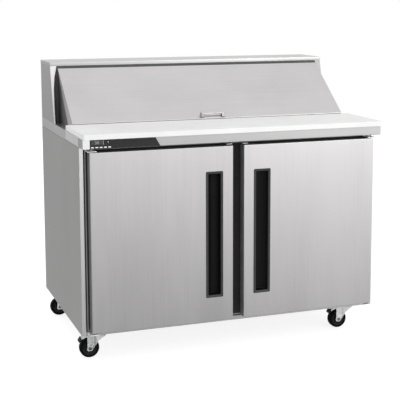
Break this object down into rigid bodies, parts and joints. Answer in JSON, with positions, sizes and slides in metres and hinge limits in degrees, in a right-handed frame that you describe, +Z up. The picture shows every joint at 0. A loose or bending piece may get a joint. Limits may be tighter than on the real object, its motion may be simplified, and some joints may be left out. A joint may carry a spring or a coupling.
{
  "type": "sandwich prep table",
  "caption": "Refrigerated sandwich prep table: stainless cabinet with hinged doors, front cutting board, flip-up sloped lid over food pans, overshelf and swivel casters.",
  "frame": {"origin": "centre of the footprint, on the floor under the wheels", "axes": "+X to the right seen from the front, -Y towards the user at the doors, +Z up"},
  "size_m": [1.224, 0.8, 1.109],
  "materials": {
    "stainless": "brushed",
    "galvanised": "satin",
    "zinc": "satin",
    "liner_metal": "satin",
    "coil_metal": "satin",
    "foam": "matt",
    "dark_plastic": "matt",
    "handle_plastic": "satin",
    "overlay_black": "gloss",
    "gasket_grey": "matt",
    "board_white": "matt",
    "wheel_black": "satin",
    "pedal_black": "satin",
    "fan_black": "matt",
    "compressor_black": "satin",
    "wire_white": "satin",
    "pin_steel": "satin"
  },
  "bodies": {
    "cabinet": {"left_side_panel": "stainless", "right_side_panel": "stainless", "bottom_panel": "stainless", "rear_panel": "galvanised", "insulation_left": "foam", "insulation_right": "foam", "insulation_floor": "foam", "insulation_back": "foam", "inner_liner": "liner_metal", "jamb_trim": "dark_plastic", "center_mullion": "dark_plastic", "worktop_insulation": "foam", "worktop_deck": "stainless", "worktop_skirts": "stainless", "front_apron": "stainless", "control_overlay": "overlay_black", "pan_1": "stainless", "pan_2": "stainless", "pan_3": "stainless", "pan_4": "stainless", "pan_5": "stainless", "pan_6": "stainless", "left_column": "stainless", "right_column": "stainless", "top_shelf": "stainless", "hood_shell": "dark_plastic", "riser_rear_cover": "galvanised", "left_wire_shelf": "wire_white", "right_wire_shelf": "wire_white", "shelf_standards": "galvanised", "evaporator_housing": "liner_metal", "compressor": "compressor_black", "condenser_unit": "coil_metal", "hinge_brackets": "stainless", "hinge_pins": "pin_steel", "caster_plates": "zinc"},
    "left_door": {"left_door_skin": "stainless", "left_door_core": "dark_plastic", "left_door_gasket": "gasket_grey", "left_door_handle": "handle_plastic"},
    "right_door": {"right_door_skin": "stainless", "right_door_core": "dark_plastic", "right_door_gasket": "gasket_grey", "right_door_handle": "handle_plastic"},
    "lid": {"lid_panel": "stainless", "lid_liner": "liner_metal", "lid_handle": "stainless"},
    "board": {"cutting_board": "board_white"},
    "evaporator_fan_body": {"evaporator_fan": "fan_black"},
    "condenser_fan_body": {"condenser_fan": "fan_black"},
    "swivel_front_left": {"fork_front_left": "zinc"},
    "roller_front_left": {"wheel_front_left": "wheel_black"},
    "swivel_front_right": {"fork_front_right": "zinc"},
    "roller_front_right": {"wheel_front_right": "wheel_black"},
    "swivel_rear_left": {"fork_rear_left": "zinc"},
    "roller_rear_left": {"wheel_rear_left": "wheel_black"},
    "swivel_rear_right": {"fork_rear_right": "zinc"},
    "roller_rear_right": {"wheel_rear_right": "wheel_black"},
    "pedal_left": {"brake_left": "pedal_black"},
    "pedal_right": {"brake_right": "pedal_black"}
  },
  "joints": [
    {"name": "left_door_hinge", "type": "hinge", "parent": "cabinet", "child": "left_door", "pos_m": [-0.57, -0.349, 0.469], "axis": [0, 0, -1], "range_deg": [0, 120]},
    {"name": "right_door_hinge", "type": "hinge", "parent": "cabinet", "child": "right_door", "pos_m": [0.57, -0.349, 0.469], "axis": [0, 0, 1], "range_deg": [0, 120]},
    {"name": "lid_hinge", "type": "hinge", "parent": "cabinet", "child": "lid", "pos_m": [0, 0.172, 1.068], "axis": [-1, 0, 0], "range_deg": [0, 140]},
    {"name": "board_lift", "type": "slide", "parent": "cabinet", "child": "board", "axis": [0, 0, 1], "range_m": [0, 0.25]},
    {"name": "evaporator_fan_spin", "type": "hinge", "parent": "cabinet", "child": "evaporator_fan_body", "pos_m": [0, 0.117, 0.65], "axis": [0, 1, 0], "continuous": true},
    {"name": "condenser_fan_spin", "type": "hinge", "parent": "cabinet", "child": "condenser_fan_body", "pos_m": [0.23, 0.315, 0.25], "axis": [0, 1, 0], "continuous": true},
    {"name": "swivel_front_left_turn", "type": "hinge", "parent": "cabinet", "child": "swivel_front_left", "pos_m": [-0.53, -0.25, 0.09], "axis": [0, 0, 1], "continuous": true},
    {"name": "wheel_front_left_roll", "type": "hinge", "parent": "swivel_front_left", "child": "roller_front_left", "pos_m": [-0.57, -0.25, 0.038], "axis": [0, 1, 0], "continuous": true},
    {"name": "swivel_front_right_turn", "type": "hinge", "parent": "cabinet", "child": "swivel_front_right", "pos_m": [0.53, -0.25, 0.09], "axis": [0, 0, 1], "continuous": true},
    {"name": "wheel_front_right_roll", "type": "hinge", "parent": "swivel_front_right", "child": "roller_front_right", "pos_m": [0.49, -0.25, 0.038], "axis": [0, 1, 0], "continuous": true},
    {"name": "swivel_rear_left_turn", "type": "hinge", "parent": "cabinet", "child": "swivel_rear_left", "pos_m": [-0.53, 0.326, 0.09], "axis": [0, 0, 1], "continuous": true},
    {"name": "wheel_rear_left_roll", "type": "hinge", "parent": "swivel_rear_left", "child": "roller_rear_left", "pos_m": [-0.57, 0.326, 0.038], "axis": [0, 1, 0], "continuous": true},
    {"name": "swivel_rear_right_turn", "type": "hinge", "parent": "cabinet", "child": "swivel_rear_right", "pos_m": [0.53, 0.326, 0.09], "axis": [0, 0, 1], "continuous": true},
    {"name": "wheel_rear_right_roll", "type": "hinge", "parent": "swivel_rear_right", "child": "roller_rear_right", "pos_m": [0.49, 0.326, 0.038], "axis": [0, 1, 0], "continuous": true},
    {"name": "brake_left_pedal", "type": "hinge", "parent": "swivel_front_left", "child": "pedal_left", "pos_m": [-0.558, -0.25, 0.082], "axis": [0, -1, 0], "range_deg": [0, 10]},
    {"name": "brake_right_pedal", "type": "hinge", "parent": "swivel_front_right", "child": "pedal_right", "pos_m": [0.502, -0.25, 0.082], "axis": [0, -1, 0], "range_deg": [0, 10]}
  ]
}
